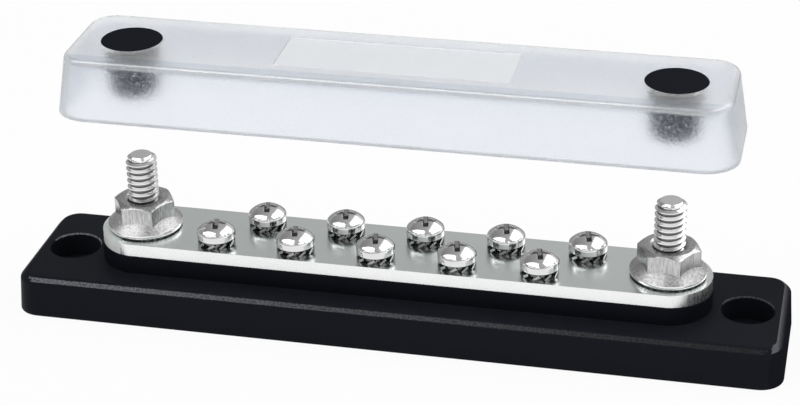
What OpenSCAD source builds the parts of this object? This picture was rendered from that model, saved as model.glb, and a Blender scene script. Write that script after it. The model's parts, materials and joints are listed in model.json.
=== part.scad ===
// Common bus bar with an insulating cover.
// A moulded base carries a plated bar on a plinth. Two threaded studs with serrated flange nuts stand
// at the ends of the bar, and two staggered rows of terminal screws with toothed lock washers lie
// between them. The frosted cover is drawn lifted off the studs that its two rubber plugs grip.
// Millimetres, +Z up, +X along the bar. The origin is the middle of the base's bottom face.

/* [Base] */
// Length of the moulded base at its foot
base_l = 157.2; // [130:0.1:220]
// Width of the base at its foot
base_w = 31.8; // [28:0.1:42]
// Height of the base plate
base_h = 8.5; // [7:0.1:14]
// How much each wall of the base leans in from its foot to its top
base_draft = 0.6; // [0.1:0.1:1.2]
// Corner radius of the base in plan
base_corner_r = 5; // [3:0.1:9]
// Straight bevel along the top edge of the base
base_bevel = 1.2; // [0.4:0.1:2]
// Height of the plinth above the base plate
plinth_h = 3.85; // [2.5:0.05:8]
// Ledge of the plinth outside the bar
plinth_lip = 0.25; // [0.1:0.05:0.6]

/* [Mounting holes] */
// Distance from each end of the base to its mounting hole
mount_end = 8.4; // [7.5:0.1:11]
// Diameter of the counterbore for the mounting screw's head
counterbore_d = 10.5; // [9:0.1:11]
// Depth of the counterbore
counterbore_depth = 5.1; // [2:0.1:5.8]
// Diameter of the mounting hole below the counterbore
mount_hole_d = 5.3; // [4.5:0.1:6]
// Bevel at the mouth of the counterbore
counterbore_bevel = 0.3; // [0.1:0.05:0.5]

/* [Bus bar] */
// Distance from each mounting hole to the stud beside it
stud_in = 16; // [15.5:0.1:22]
// Width of the bar
bar_w = 18.2; // [17:0.1:21]
// Thickness of the bar
bar_t = 2.7; // [1.6:0.1:4]
// How far the end arcs stand outside the half width of the bar
bar_end_extra = 0.1; // [0.05:0.05:0.8]
// How far inside the stud's axis the centre of each end arc lies
bar_end_in = 0.35; // [0:0.05:0.8]

/* [Studs and nuts] */
// Outside diameter of the stud thread
stud_d = 6.35; // [5:0.05:7]
// Height of the stud above the bar
stud_out = 16.3; // [12:0.1:24]
// Bevel at the tip of the stud
stud_bevel = 0.6; // [0.3:0.1:1.2]
// Width across the flats of the nut and of the stud's head
hex_af = 11.1; // [10:0.1:12]
// Height of the stud's head, which lies in a pocket under the base
stud_head_h = 4; // [3:0.1:4.5]
// Height of the flange nut
nut_h = 6.6; // [5:0.1:8]
// Diameter of the nut's flange
flange_d = 15.4; // [14:0.1:16.5]
// Thickness of the flange at its rim
flange_rim_t = 0.7; // [0.5:0.05:1.2]
// Height of the cone between the rim and the flats
flange_cone_h = 1.9; // [1:0.1:2.4]
// Height of the serrations under the flange
serration_h = 0.5; // [0.2:0.05:0.7]
// How far inside the flange's rim the serrations end
serration_inset = 1.1; // [0.3:0.1:1.6]
// Number of serrations under each flange
serrations = 28; // [12:1:36]
// Width of the bevel round the nut's top, outside which its corners fall away
nut_bevel = 0.5; // [0.1:0.1:1]
// Depth of the countersink in the nut's top
nut_countersink = 0.4; // [0.2:0.05:0.8]
// Turn of the left nut about its stud
nut_turn_left = 2; // [-30:1:30]
// Turn of the right nut about its stud
nut_turn_right = -4; // [-30:1:30]
// How far the stud's pitch radius, drawn in the base and the nut, lies inside its outside radius
shank_relief = 0.2; // [0.18:0.01:0.4]
// How far above the nut the stud's full diameter starts
full_thread_gap = 0.3; // [0.1:0.05:0.6]

/* [Terminal screws] */
// Number of screws in each row
screws_per_row = 5; // [3:1:6]
// Outside diameter of the screw thread
screw_d = 4.1; // [3.5:0.1:4.5]
// Length of the screw under its head
screw_l = 9.5; // [8:0.1:10]
// Diameter of the pan head
head_d = 7.9; // [7:0.1:8.4]
// Height of the pan head
head_h = 3.4; // [2.8:0.1:3.8]
// Height of the head's straight side, below its dome
head_side_h = 1.55; // [0.8:0.05:2]
// Bevel under the rim of the head
head_foot_bevel = 0.25; // [0.1:0.05:0.4]
// Span of the cross recess at the top of the head
recess_span = 3.2; // [2.4:0.1:4]
// Depth of the cross recess
recess_depth = 1.7; // [1:0.1:2]
// Width of each arm of the cross recess
recess_w = 0.9; // [0.6:0.1:1.1]
// Turn of the cross recess about the screw
recess_turn = 13; // [0:1:90]

/* [Lock washers] */
// Number of teeth round each washer
washer_teeth = 10; // [8:1:12]
// Diameter over the teeth
washer_d = 7.6; // [7:0.1:8.4]
// Diameter of the washer's ring
washer_ring_d = 5.6; // [5.2:0.1:6.4]
// Thickness of the washer's sheet
washer_t = 0.5; // [0.4:0.05:0.6]
// Height over the twisted teeth
washer_h = 1.35; // [1:0.05:1.6]
// Twist of each tooth out of the sheet
tooth_twist = 36; // [28:1:42]

/* [Cover] */
// Distance from each stud's axis to the end of the cover at its rim
cover_end = 13.3; // [12:0.1:16]
// Half width of the cover at its rim
cover_half_w = 14.1; // [12.5:0.1:15]
// Height of the cover
cover_h = 12.25; // [11:0.05:16]
// Wall thickness of the cover
cover_wall = 1.5; // [1.2:0.1:2]
// Thickness of the cover's top
cover_top_t = 2; // [1.8:0.1:2.6]
// How much each wall leans in from the rim to the top
cover_draft = 2; // [0.8:0.1:2.4]
// Corner radius of the cover at its rim
cover_corner_r = 7; // [5:0.1:9]
// Radius along the top edge of the cover
cover_edge_r = 1.4; // [0.8:0.1:1.6]
// Length of the shallow panel in the cover's top
panel_l = 46.5; // [30:0.5:60]
// Width of the panel
panel_w = 13.6; // [8:0.1:16]
// Depth of the panel
panel_depth = 0.25; // [0.1:0.05:0.5]
// How far the cover is lifted above its seat
cover_lift = 23.65; // [0:0.05:40]

/* [Cover plugs] */
// Diameter of the plug's flush disc
plug_disc_d = 12.3; // [11.5:0.1:14]
// Thickness of the disc
plug_disc_t = 1.2; // [0.8:0.1:1.4]
// Diameter of the plug's sleeve under its disc
plug_d = 10.8; // [9.5:0.1:11]
// Diameter of the sleeve at its free end
plug_tip_d = 9.4; // [8.8:0.1:9.5]
// Gap left between the plug's end and the nut when the cover is down
plug_gap = 0.5; // [0.3:0.1:3]
// Thickness of the plug over its blind bore
plug_roof = 1.5; // [1:0.1:2.5]

/* [Fits] */
// Gap round a stud in a hole that it only passes through
stud_clearance = 0.15; // [0.1:0.01:0.25]
// Gap round a threaded piece in its thread
thread_clearance = 0.05; // [0.03:0.01:0.08]
// Gap round the stud in the plug that slides over it
plug_clearance = 0.1; // [0.05:0.01:0.15]
// Gap round the plug in the cover
cover_fit = 0.05; // [0.03:0.01:0.08]
// Gap round the stud's head in its pocket
pocket_clearance = 0.1; // [0.05:0.01:0.2]
// Gap round a screw's end in the base
tip_clearance = 0.35; // [0.25:0.05:0.6]
// Gap left over the stud when the cover is down
seat_gap = 0.3; // [0.2:0.05:0.5]

/* [Hidden] */
$fn = 64;
eps = 0.01;
mount_x = base_l / 2 - mount_end;
stud_x = mount_x - stud_in;
plinth_z = base_h + plinth_h;
bar_z = plinth_z + bar_t;
bar_end_r = bar_w / 2 + bar_end_extra;
stud_top = bar_z + stud_out;
pocket_depth = stud_head_h + 0.4;
screw_pitch = 2 * stud_x / (screws_per_row + 1.5);
row_y = bar_w / 4;
head_z = bar_z + washer_h;
screw_tip_z = head_z - screw_l;
cover_top_z = stud_top + seat_gap + plug_roof + cover_lift;
cover_z = cover_top_z - cover_h;
cover_half_l = stud_x + cover_end;
plug_bore_r = stud_d / 2 + plug_clearance;
plug_l = stud_out + seat_gap + plug_roof - nut_h - plug_gap;
base_color = [0.09, 0.1, 0.12];
plated_color = [0.72, 0.74, 0.74];
steel_color = [0.8, 0.81, 0.82];
cover_color = [0.88, 0.9, 0.94, 0.6];
rubber_color = [0.08, 0.09, 0.11];

// Places its child at both studs.
module at_studs() {
  for (side = [-1, 1])
    translate([side * stud_x, 0, 0])
      children();
}

// Places its child at each terminal screw: the front row is half a pitch behind the back row.
module at_screws() {
  for (row = [-1, 1])
    for (i = [0 : screws_per_row - 1])
      translate([(i - (screws_per_row - 1) / 2 + row / 4) * screw_pitch, row * row_y, 0])
        children();
}

// Half section of a wall that leans in by draft over its height and is rounded at its top edge.
module rounded_wall(reach, draft, h, edge_r) {
  lean = atan(draft / h);
  arc_z = h - edge_r;
  arc_x = reach - arc_z * tan(lean) - edge_r / cos(lean);
  polygon([
    [0, 0],
    [reach, 0],
    [arc_x + edge_r * cos(lean), arc_z + edge_r * sin(lean)],
    [arc_x, arc_z],
    [arc_x, h],
    [0, h]
  ]);
  translate([arc_x, arc_z])
    circle(r = edge_r);
}

// Half section of a wall that leans in by draft over its height and is bevelled at its top edge.
module bevelled_wall(reach, draft, h, bevel) {
  shoulder = reach - draft * (h - bevel) / h;
  polygon([
    [0, 0],
    [reach, 0],
    [shoulder, h - bevel],
    [shoulder - bevel, h],
    [0, h]
  ]);
}

// Whole section across a block whose corner centres lie at half_run either side; its child is the wall.
module block_section(half_run, h) {
  for (side = [0, 1])
    mirror([side, 0])
      translate([half_run, 0])
        children();
  translate([-half_run, 0])
    square([2 * half_run, h]);
}

// Moulded block with round corners. Its child is the half section of its wall, from a corner's centre out.
module moulded_block(half_l, half_w, corner_r, h) {
  run_x = half_l - corner_r;
  run_y = half_w - corner_r;
  for (sx = [-1, 1], sy = [-1, 1])
    translate([sx * run_x, sy * run_y, 0])
      rotate_extrude()
        children();
  rotate([90, 0, 0])
    linear_extrude(height = 2 * run_y, center = true)
      block_section(run_x, h)
        children();
  rotate([90, 0, 90])
    linear_extrude(height = 2 * run_x, center = true)
      block_section(run_y, h)
        children();
}

// Outline of the bar, grown by lip: end arcs cut off at the long sides.
module bar_outline(lip) {
  intersection() {
    union() {
      for (side = [-1, 1])
        translate([side * (stud_x - bar_end_in), 0])
          circle(r = bar_end_r + lip);
      square([2 * stud_x, bar_w + 2 * lip], center = true);
    }
    square([2 * (stud_x + bar_end_r + 1), bar_w + 2 * lip], center = true);
  }
}

// Hexagonal prism by its width across flats.
module hex_prism(af, h) {
  cylinder(h = h, d = af / cos(30), $fn = 6);
}

// Counterbored mounting hole with a bevelled mouth.
module mounting_hole() {
  translate([0, 0, -1])
    cylinder(h = base_h + 2, d = mount_hole_d);
  translate([0, 0, base_h - counterbore_depth])
    cylinder(h = counterbore_depth + 1, d = counterbore_d);
  translate([0, 0, base_h - counterbore_bevel])
    cylinder(h = counterbore_bevel + eps, d1 = counterbore_d, d2 = counterbore_d + 2 * counterbore_bevel);
}

module base() {
  color(base_color)
    difference() {
      union() {
        moulded_block(base_l / 2, base_w / 2, base_corner_r, base_h)
          bevelled_wall(base_corner_r, base_draft, base_h, base_bevel);
        translate([0, 0, base_h - 1])
          linear_extrude(height = plinth_h + 1)
            bar_outline(plinth_lip);
      }
      for (side = [-1, 1])
        translate([side * mount_x, 0, 0])
          mounting_hole();
      at_studs() {
        translate([0, 0, -1])
          cylinder(h = plinth_z + 2, r = stud_d / 2 + stud_clearance);
      }
      at_studs()
        translate([0, 0, -1])
          hex_prism(hex_af + 2 * pocket_clearance, pocket_depth + 1);
      at_screws()
        translate([0, 0, screw_tip_z - tip_clearance])
          cylinder(h = plinth_z, r = screw_d / 2 + tip_clearance);
    }
}

module bus_bar() {
  color(plated_color)
    translate([0, 0, plinth_z])
      difference() {
        linear_extrude(height = bar_t)
          bar_outline(0);
        at_studs()
          translate([0, 0, -1])
            cylinder(h = bar_t + 2, r = stud_d / 2 + stud_clearance);
        at_screws()
          translate([0, 0, -1])
            cylinder(h = bar_t + 2, r = screw_d / 2 + thread_clearance);
      }
}

// One stud: a hexagon head under the base and a straight shank with a bevelled tip.
module stud() {
  full_z = bar_z + nut_h + full_thread_gap;
  translate([0, 0, pocket_depth - stud_head_h])
    hex_prism(hex_af, stud_head_h);
  translate([0, 0, pocket_depth - eps])
    cylinder(h = full_z - pocket_depth + eps, d = stud_d - 2 * shank_relief);
  translate([0, 0, full_z])
    cylinder(h = stud_top - stud_bevel - full_z, d = stud_d);
  translate([0, 0, stud_top - stud_bevel])
    cylinder(h = stud_bevel, d1 = stud_d, d2 = stud_d - 2 * stud_bevel);
}

module studs() {
  color(steel_color)
    at_studs()
      stud();
}

// Serrated rim under the flange: radial ridges left between straight grooves.
module serrated_rim() {
  rim_r = flange_d / 2 - serration_inset;
  groove_w = PI * rim_r / serrations;
  difference() {
    cylinder(h = serration_h + eps, r = rim_r);
    for (i = [0 : serrations - 1])
      rotate(i * 360 / serrations)
        translate([stud_d / 2 + 1.6, -groove_w / 2, -1])
          cube([flange_d, groove_w, serration_h + 1 - eps]);
  }
}

// One flange nut, seated on z = 0.
module flange_nut() {
  cone_z = serration_h + flange_rim_t;
  bore_r = stud_d / 2 - shank_relief + thread_clearance;
  hex_r = hex_af / cos(30) / 2;
  difference() {
    union() {
      serrated_rim();
      rotate_extrude()
        polygon([
          [0, serration_h],
          [flange_d / 2 - 0.15, serration_h],
          [flange_d / 2, serration_h + 0.15],
          [flange_d / 2, cone_z],
          [hex_af / 2, cone_z + flange_cone_h],
          [0, cone_z + flange_cone_h]
        ]);
      intersection() {
        translate([0, 0, serration_h])
          hex_prism(hex_af, nut_h - serration_h);
        rotate_extrude()
          polygon([
            [0, 0],
            [hex_r + 1, 0],
            [hex_r + 1, nut_h - (hex_r + 1 - hex_af / 2 + nut_bevel) * tan(30)],
            [hex_af / 2 - nut_bevel, nut_h],
            [0, nut_h]
          ]);
      }
    }
    translate([0, 0, -1])
      cylinder(h = nut_h + 2, r = bore_r);
    translate([0, 0, nut_h - nut_countersink])
      cylinder(h = nut_countersink + eps, r1 = bore_r, r2 = bore_r + nut_countersink);
  }
}

module flange_nuts() {
  color(steel_color)
    translate([0, 0, bar_z]) {
      translate([-stud_x, 0, 0])
        rotate(nut_turn_left)
          flange_nut();
      translate([stud_x, 0, 0])
        rotate(nut_turn_right)
          flange_nut();
    }
}

// Half section of the pan head, seated on z = 0: a straight side under a dome.
module head_section() {
  r = head_d / 2;
  dome_h = head_h - head_side_h;
  dome_r = (r * r + dome_h * dome_h) / (2 * dome_h);
  intersection() {
    polygon([
      [0, 0],
      [r - head_foot_bevel, 0],
      [r, head_foot_bevel],
      [r, head_h],
      [0, head_h]
    ]);
    translate([0, head_h - dome_r])
      circle(r = dome_r);
  }
}

// One arm of the cross recess: it narrows towards its floor.
module recess_arm() {
  rotate([90, 0, 0])
    linear_extrude(height = recess_w, center = true)
      polygon([
        [-recess_span / 2, 0.5],
        [-recess_span / 2, 0],
        [-recess_span / 5, -recess_depth],
        [recess_span / 5, -recess_depth],
        [recess_span / 2, 0],
        [recess_span / 2, 0.5]
      ]);
}

// One terminal screw with its head seated on z = 0.
module terminal_screw() {
  tip_bevel = 0.6;
  difference() {
    rotate_extrude()
      head_section();
    translate([0, 0, head_h])
      rotate(recess_turn) {
        recess_arm();
        rotate(90)
          recess_arm();
      }
  }
  translate([0, 0, tip_bevel - screw_l])
    cylinder(h = screw_l - tip_bevel + eps, d = screw_d);
  translate([0, 0, -screw_l])
    cylinder(h = tip_bevel, d1 = screw_d - 2 * tip_bevel, d2 = screw_d);
}

module terminal_screws() {
  color(steel_color)
    at_screws()
      translate([0, 0, head_z])
        terminal_screw();
}

// One external tooth washer: a flat ring whose teeth are twisted to touch above and below.
module lock_washer() {
  ring_r = washer_ring_d / 2;
  root = 0.4;
  tooth_l = washer_d / 2 - ring_r + root;
  tooth_w = (washer_h - washer_t * cos(tooth_twist)) / sin(tooth_twist);
  difference() {
    union() {
      translate([0, 0, (washer_h - washer_t) / 2])
        cylinder(h = washer_t, r = ring_r);
      for (i = [0 : washer_teeth - 1])
        rotate((i + 0.5) * 360 / washer_teeth)
          translate([ring_r - root + tooth_l / 2, 0, washer_h / 2])
            rotate([tooth_twist, 0, 0])
              cube([tooth_l, tooth_w, washer_t], center = true);
    }
    translate([0, 0, -1])
      cylinder(h = washer_h + 2, r = screw_d / 2 + stud_clearance);
  }
}

module lock_washers() {
  color(steel_color)
    at_screws()
      translate([0, 0, bar_z])
        lock_washer();
}

module cover() {
  inner_h = cover_h - cover_top_t + eps;
  inner_r = cover_corner_r - cover_wall;
  inner_draft = cover_draft * inner_h / cover_h;
  inner_edge_r = 0.6;
  color(cover_color)
    translate([0, 0, cover_z])
      difference() {
        moulded_block(cover_half_l, cover_half_w, cover_corner_r, cover_h)
          rounded_wall(cover_corner_r, cover_draft, cover_h, cover_edge_r);
        translate([0, 0, -eps])
          moulded_block(cover_half_l - cover_wall, cover_half_w - cover_wall, inner_r, inner_h)
            rounded_wall(inner_r, inner_draft, inner_h, inner_edge_r);
        at_studs() {
          translate([0, 0, cover_h - plug_disc_t])
            cylinder(h = plug_disc_t + 1, r = plug_disc_d / 2 + cover_fit);
        }
        at_studs()
          translate([0, 0, 1])
            cylinder(h = cover_h, r = plug_d / 2 + cover_fit);
        translate([-panel_l / 2, -panel_w / 2, cover_h - panel_depth])
          cube([panel_l, panel_w, 1]);
      }
}

// One rubber plug: a flush disc and a sleeve with a blind bore that grips the stud.
module plug() {
  color(rubber_color)
    translate([0, 0, cover_top_z])
      rotate_extrude()
        polygon([
          [0, 0],
          [plug_disc_d / 2, 0],
          [plug_disc_d / 2, -plug_disc_t],
          [plug_d / 2, -plug_disc_t],
          [plug_d / 2, -cover_top_t],
          [plug_tip_d / 2, 0.4 - plug_l],
          [plug_tip_d / 2 - 0.4, -plug_l],
          [plug_bore_r + 0.4, -plug_l],
          [plug_bore_r, 0.4 - plug_l],
          [plug_bore_r, -plug_roof],
          [0, -plug_roof]
        ]);
}

module plug_left() {
  translate([-stud_x, 0, 0])
    plug();
}

module plug_right() {
  translate([stud_x, 0, 0])
    plug();
}

base();
bus_bar();
studs();
flange_nuts();
terminal_screws();
lock_washers();
cover();
plug_left();
plug_right();
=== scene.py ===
"""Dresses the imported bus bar.

It gives the solids their finishes, cuts the studs' threads, eases the edges and sets up a small studio.
"""

import json
import logging
import math
from dataclasses import dataclass, replace
from enum import Enum, IntEnum
from typing import Any, Optional, Protocol, Union

import bmesh
import bpy
from mathutils import Matrix, Vector

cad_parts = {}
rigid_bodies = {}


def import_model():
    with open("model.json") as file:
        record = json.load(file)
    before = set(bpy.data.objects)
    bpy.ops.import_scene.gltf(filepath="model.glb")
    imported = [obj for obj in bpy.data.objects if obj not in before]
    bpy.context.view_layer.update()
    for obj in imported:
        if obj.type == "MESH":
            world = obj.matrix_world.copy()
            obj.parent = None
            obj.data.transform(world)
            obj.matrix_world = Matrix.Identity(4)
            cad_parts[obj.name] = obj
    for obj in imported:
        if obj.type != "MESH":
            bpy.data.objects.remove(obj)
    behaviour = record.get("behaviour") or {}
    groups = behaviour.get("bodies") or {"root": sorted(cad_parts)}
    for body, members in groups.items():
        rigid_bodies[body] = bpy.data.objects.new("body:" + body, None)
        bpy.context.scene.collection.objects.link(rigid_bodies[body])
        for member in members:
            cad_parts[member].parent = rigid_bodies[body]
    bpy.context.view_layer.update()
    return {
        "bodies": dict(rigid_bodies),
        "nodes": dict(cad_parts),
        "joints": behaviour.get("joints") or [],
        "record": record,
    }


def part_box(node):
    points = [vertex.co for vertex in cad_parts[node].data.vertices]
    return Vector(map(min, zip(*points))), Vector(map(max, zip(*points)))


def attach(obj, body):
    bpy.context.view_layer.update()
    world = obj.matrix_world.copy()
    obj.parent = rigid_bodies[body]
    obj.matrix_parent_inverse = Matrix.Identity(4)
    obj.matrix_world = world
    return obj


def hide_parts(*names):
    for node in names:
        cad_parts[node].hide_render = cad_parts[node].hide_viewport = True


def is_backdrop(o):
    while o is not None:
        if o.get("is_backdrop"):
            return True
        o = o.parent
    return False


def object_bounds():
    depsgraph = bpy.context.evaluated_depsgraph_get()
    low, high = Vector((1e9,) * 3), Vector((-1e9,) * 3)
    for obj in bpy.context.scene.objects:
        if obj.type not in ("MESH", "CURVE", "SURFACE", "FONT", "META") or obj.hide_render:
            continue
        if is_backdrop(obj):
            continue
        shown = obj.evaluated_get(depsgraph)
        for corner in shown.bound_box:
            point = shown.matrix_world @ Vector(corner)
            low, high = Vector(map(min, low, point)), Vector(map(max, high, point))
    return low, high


LOG = logging.getLogger("bus_bar")
MM = 0.001
PHOTO_WIDTH_PX = 800

Triple = tuple[float, float, float]
Colour = Triple
Frame = dict[str, Any]
Shape = bmesh.types.BMesh
Edge = bmesh.types.BMEdge
Face = bmesh.types.BMFace

# Sockets of a Mix node that mixes colours
MIX_FACTOR, MIX_FIRST, MIX_SECOND, MIX_RESULT = 0, 6, 7, 2

# Distances up to which points count as one, and the angle up to which faces do
WELD = 0.002 * MM
SEAM = 0.001 * MM
CUT = 0.0001 * MM
NEAR = 0.01 * MM
FLAT_DEG = 0.5

SMOOTH_DEG = 40.0
EASE_STEPS = 2
FLAT_FACE_WEIGHT = 100
MID_TONE = 0.5
WHITE = (1.0, 1.0, 1.0)
ORIGIN = (0.0, 0.0, 0.0)
UP = (0.0, 0.0, 1.0)
DOWN = (0.0, 0.0, -1.0)


class Body(Enum):
    """The rigid bodies that pieces ride on."""

    BLOCK = "block"
    LID = "lid"


class BaseLook(IntEnum):
    """The base's finishes, in the order of its material slots."""

    # The chamfers, the hole rims and the line on the right end carry painted highlights, and the plinth
    # carries painted shade.
    PLAIN = 0
    HIGHLIT_CHAMFER = 1
    PLINTH = 2
    END = 3
    END_HIGHLIGHT_LINE = 4
    RIM = 5


class NutLook(IntEnum):
    """The nuts' finishes, in the order of their material slots."""

    HEXAGON = 0
    FLANGE = 1
    RIM = 2


class ScrewLook(IntEnum):
    """The screws' finishes, in the order of their material slots."""

    HEAD = 0
    # The recess walls and floor carry painted shade.
    RECESS = 1
    FLOOR = 2


class Wire:
    """A shader value that takes part in Python arithmetic."""

    def __init__(self, graph: "Graph", socket: Optional[bpy.types.NodeSocket]) -> None:
        """Wraps one output socket.

        Args:
            graph: the graph that the socket belongs to.
            socket: the output to wrap, or None for a node without outputs.
        """
        self.graph = graph
        self.socket = socket

    def _math(self, operation: str, first: "Value", second: "Value") -> "Wire":
        """Adds a Math node.

        Args:
            operation: the Math node's operation.
            first: left-hand value.
            second: right-hand value.

        Returns:
            The result as a wire.
        """
        return self.graph.node("ShaderNodeMath", {"operation": operation}, {0: first, 1: second})

    def __add__(self, other: "Value") -> "Wire":
        """Sum."""
        return self._math("ADD", self, other)

    def __radd__(self, other: "Value") -> "Wire":
        """Reflected sum."""
        return self._math("ADD", other, self)

    def __sub__(self, other: "Value") -> "Wire":
        """Difference."""
        return self._math("SUBTRACT", self, other)

    def __rsub__(self, other: "Value") -> "Wire":
        """Reflected difference."""
        return self._math("SUBTRACT", other, self)

    def __mul__(self, other: "Value") -> "Wire":
        """Product."""
        return self._math("MULTIPLY", self, other)

    def __rmul__(self, other: "Value") -> "Wire":
        """Reflected product."""
        return self._math("MULTIPLY", other, self)

    def __truediv__(self, other: "Value") -> "Wire":
        """Quotient."""
        return self._math("DIVIDE", self, other)

    def __abs__(self) -> "Wire":
        """Size without its sign."""
        return self._math("ABSOLUTE", self, 0.0)

    def below(self, other: "Value") -> "Wire":
        """1 where this is the smaller value."""
        return self._math("LESS_THAN", self, other)

    def at_least(self, other: "Value") -> "Wire":
        """The larger of two values."""
        return self._math("MAXIMUM", self, other)


Value = Union[Wire, float, tuple]


class Graph:
    """A node tree under construction."""

    def __init__(self, tree: bpy.types.NodeTree) -> None:
        """Empties the tree.

        Args:
            tree: the tree to fill.
        """
        self.tree = tree
        tree.nodes.clear()

    def node(self, kind: str, settings: dict[str, Any], sockets: dict[Any, Value], output: Any = 0) -> Wire:
        """Adds any node.

        Args:
            kind: the node's type.
            settings: properties that are set before the sockets.
            sockets: values or wires by socket name or index.
            output: name or index of the output that is returned.

        Returns:
            The chosen output as a wire.
        """
        made = self.tree.nodes.new(kind)
        for name, value in settings.items():
            setattr(made, name, value)
        for key, value in sockets.items():
            if isinstance(value, Wire):
                self.tree.links.new(value.socket, made.inputs[key])
            else:
                made.inputs[key].default_value = value
        return Wire(self, made.outputs[output] if made.outputs else None)

    def noise(self, vector: Value, scale: float, detail: float) -> Wire:
        """Smooth noise between 0 and 1.

        Args:
            vector: where it is read.
            scale: cells per metre.
            detail: octaves.

        Returns:
            The noise value.
        """
        return self.node("ShaderNodeTexNoise", {}, {"Vector": vector, "Scale": scale, "Detail": detail})

    def mix(self, factor: Value, first: Value, second: Value) -> Wire:
        """Mixes two colours.

        Args:
            factor: 0 gives the first colour and 1 the second.
            first: first colour.
            second: second colour.

        Returns:
            The mixed colour.
        """
        sockets = {MIX_FACTOR: factor, MIX_FIRST: first, MIX_SECOND: second}
        return self.node("ShaderNodeMix", {"data_type": "RGBA"}, sockets, MIX_RESULT)

    def places(self, stretch: Triple = (1.0, 1.0, 1.0)) -> Wire:
        """Object coordinates, stretched.

        Args:
            stretch: scale on each axis.

        Returns:
            The coordinates.
        """
        here = self.node("ShaderNodeTexCoord", {}, {}, "Object")
        return self.node("ShaderNodeMapping", {}, {"Vector": here, "Scale": stretch})

    def light_path(self, *rays: str) -> Wire:
        """A mask of ray kinds.

        Args:
            rays: the Light Path outputs that count.

        Returns:
            1 for those rays and 0 for others.
        """
        mask = self.node("ShaderNodeLightPath", {}, {}, rays[0])
        for ray in rays[1:]:
            mask = mask.at_least(self.node("ShaderNodeLightPath", {}, {}, ray))
        return mask

    def axis(self, vector: Wire, name: str) -> Wire:
        """One coordinate of a vector, named X, Y or Z."""
        return self.node("ShaderNodeSeparateXYZ", {}, {0: vector}, name)

    def bump(self, height: Wire, strength: float, depth: float) -> Wire:
        """Bump normal from a height.

        Args:
            height: the height from 0 to 1.
            strength: how much of the bump shows.
            depth: the height's real depth in metres.

        Returns:
            The normal.
        """
        return self.node("ShaderNodeBump", {}, {"Strength": strength, "Distance": depth, "Height": height})


def even(value: float) -> Triple:
    """The same number three times, for a grey or an even scale."""
    return (value, value, value)


def rgba(colour: Colour) -> tuple[float, float, float, float]:
    """A colour with full alpha."""
    return (*colour, 1.0)


def around(middle: float, spread: float, noise: Wire) -> Wire:
    """A value that noise moves to either side of a middle."""
    return middle - spread / 2 + noise * spread


def new_material(name: str) -> tuple[bpy.types.Material, Graph]:
    """Starts a material.

    Args:
        name: the material's name.

    Returns:
        The material and its emptied graph.
    """
    material = bpy.data.materials.new(name)
    material.use_nodes = True
    return material, Graph(material.node_tree)


def close_material(graph: Graph, sockets: dict[str, Value]) -> None:
    """Adds the surface shader and the output.

    Args:
        graph: the material's graph.
        sockets: the shader's values and wires.
    """
    surface = graph.node("ShaderNodeBsdfPrincipled", {}, sockets)
    graph.node("ShaderNodeOutputMaterial", {}, {"Surface": surface})


@dataclass(frozen=True)
class MouldedPlastic:
    """Satin black moulding with a fine grain, faint flow marks and, where speckle is set, pale specks that
    paint a highlight.
    """

    name: str = "moulded_black"
    dark: Colour = (0.0098, 0.0106, 0.0142)
    light: Colour = (0.0132, 0.0142, 0.0186)
    roughness: float = 0.45
    spread: float = 0.1
    flow_per_m: Triple = (18.0, 60.0, 60.0)
    flow_detail: float = 3.0
    grain_per_m: float = 2600.0
    grain_detail: float = 1.0
    grain_depth: float = 0.03 * MM
    grain_strength: float = 0.35
    specular: float = 0.03
    sheen_tint: Colour = (0.72, 0.86, 1.0)
    speckle: float = 0.0
    speck_gain: float = 1.6
    speck_drop: float = 0.3
    fade_x: tuple[float, ...] = ()

    def material(self) -> bpy.types.Material:
        """Builds the finish, whose painted highlight fades out between the two places in fade_x.

        Returns:
            The material.
        """
        made, graph = new_material(self.name)
        here = graph.places()
        flow = graph.noise(graph.places(self.flow_per_m), 1.0, self.flow_detail)
        grain = graph.noise(here, self.grain_per_m, self.grain_detail)
        specks = grain * self.speck_gain - self.speck_drop
        tone = flow + (specks - flow) * self.speckle
        # Painted highlight: brightest towards the first place in fade_x and dark from the second place on.
        if self.fade_x:
            bright_x, dark_x = self.fade_x
            highlight_fade = ((dark_x - graph.axis(here, "X")) / (dark_x - bright_x)).at_least(0.0)
            tone = tone * highlight_fade * highlight_fade
        close_material(
            graph,
            {
                "Base Color": graph.mix(tone, rgba(self.dark), rgba(self.light)),
                "Roughness": around(self.roughness, self.spread, flow),
                "Specular IOR Level": self.specular,
                "Specular Tint": rgba(self.sheen_tint),
                "Normal": graph.bump(grain, self.grain_strength, self.grain_depth),
            },
        )
        return made


# Painted highlight on the base's chamfers: a pale speckled tone, brightest at the left end and fading out
# towards the right.
CHAMFER_HIGHLIGHT = MouldedPlastic(
    "moulded_black_chamfer_highlight",
    dark=(0.01, 0.0105, 0.013),
    light=(0.26, 0.264, 0.284),
    roughness=0.4,
    grain_depth=0.06 * MM,
    specular=0.08,
    sheen_tint=(0.95, 0.96, 1.0),
    speckle=1.0,
    fade_x=(-74.0 * MM, 126.0 * MM),
)
# Painted highlight on the back rims of the mounting holes, a little dimmer towards the right.
HOLE_RIM_HIGHLIGHT = replace(CHAMFER_HIGHLIGHT, name="moulded_black_rim_highlight", fade_x=(-74.0 * MM, 300.0 * MM))
END_DULL = MouldedPlastic("moulded_black_end", specular=0.0)
# Painted highlight line along the inner edge of the chamfer on the base's right end.
END_HIGHLIGHT_LINE = MouldedPlastic(
    "moulded_black_end_highlight_line",
    light=(0.12, 0.124, 0.132),
    specular=0.0,
    speckle=0.3,
    fade_x=(77.2 * MM, 78.2 * MM),
)
# Painted shade: the plinth under the bar is darker than the rest of the base.
PLINTH_SHADE = MouldedPlastic(
    "moulded_black_plinth_shade",
    dark=(0.0045, 0.0053, 0.008),
    light=(0.0072, 0.0083, 0.012),
    specular=0.06,
)


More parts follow.
